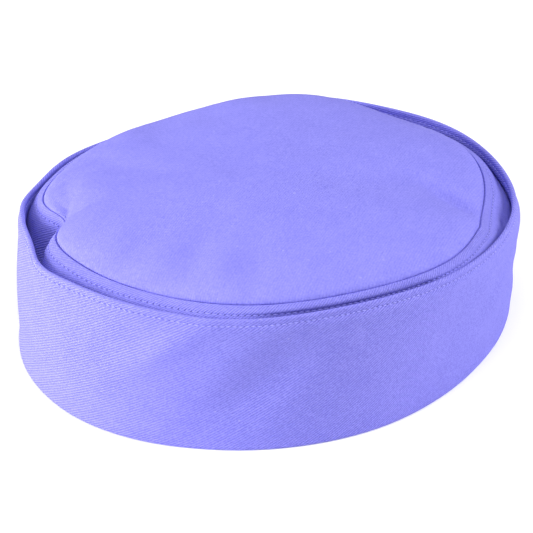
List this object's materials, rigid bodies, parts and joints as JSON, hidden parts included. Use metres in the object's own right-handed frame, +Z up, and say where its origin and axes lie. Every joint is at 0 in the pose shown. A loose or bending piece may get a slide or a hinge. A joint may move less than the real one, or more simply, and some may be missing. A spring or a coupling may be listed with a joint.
{
  "type": "chef cap",
  "caption": "Round twill cap with a tall turned-up band, a leaning side wall behind it and a softly domed top, open below for the head.",
  "frame": {"origin": "on the surface that the cap stands on, below the middle of its outline", "axes": "+X along the long way of the head opening, away from the pushed-in end of the side wall; +Z up to the top"},
  "size_m": [0.209, 0.1786, 0.0681],
  "materials": {
    "band_twill": "matt cotton twill",
    "side_twill": "matt cotton twill",
    "top_twill": "matt cotton twill"
  },
  "bodies": {
    "root": {"band": "band_twill", "crown_side": "side_twill", "crown_tip": "top_twill"}
  },
  "joints": []
}
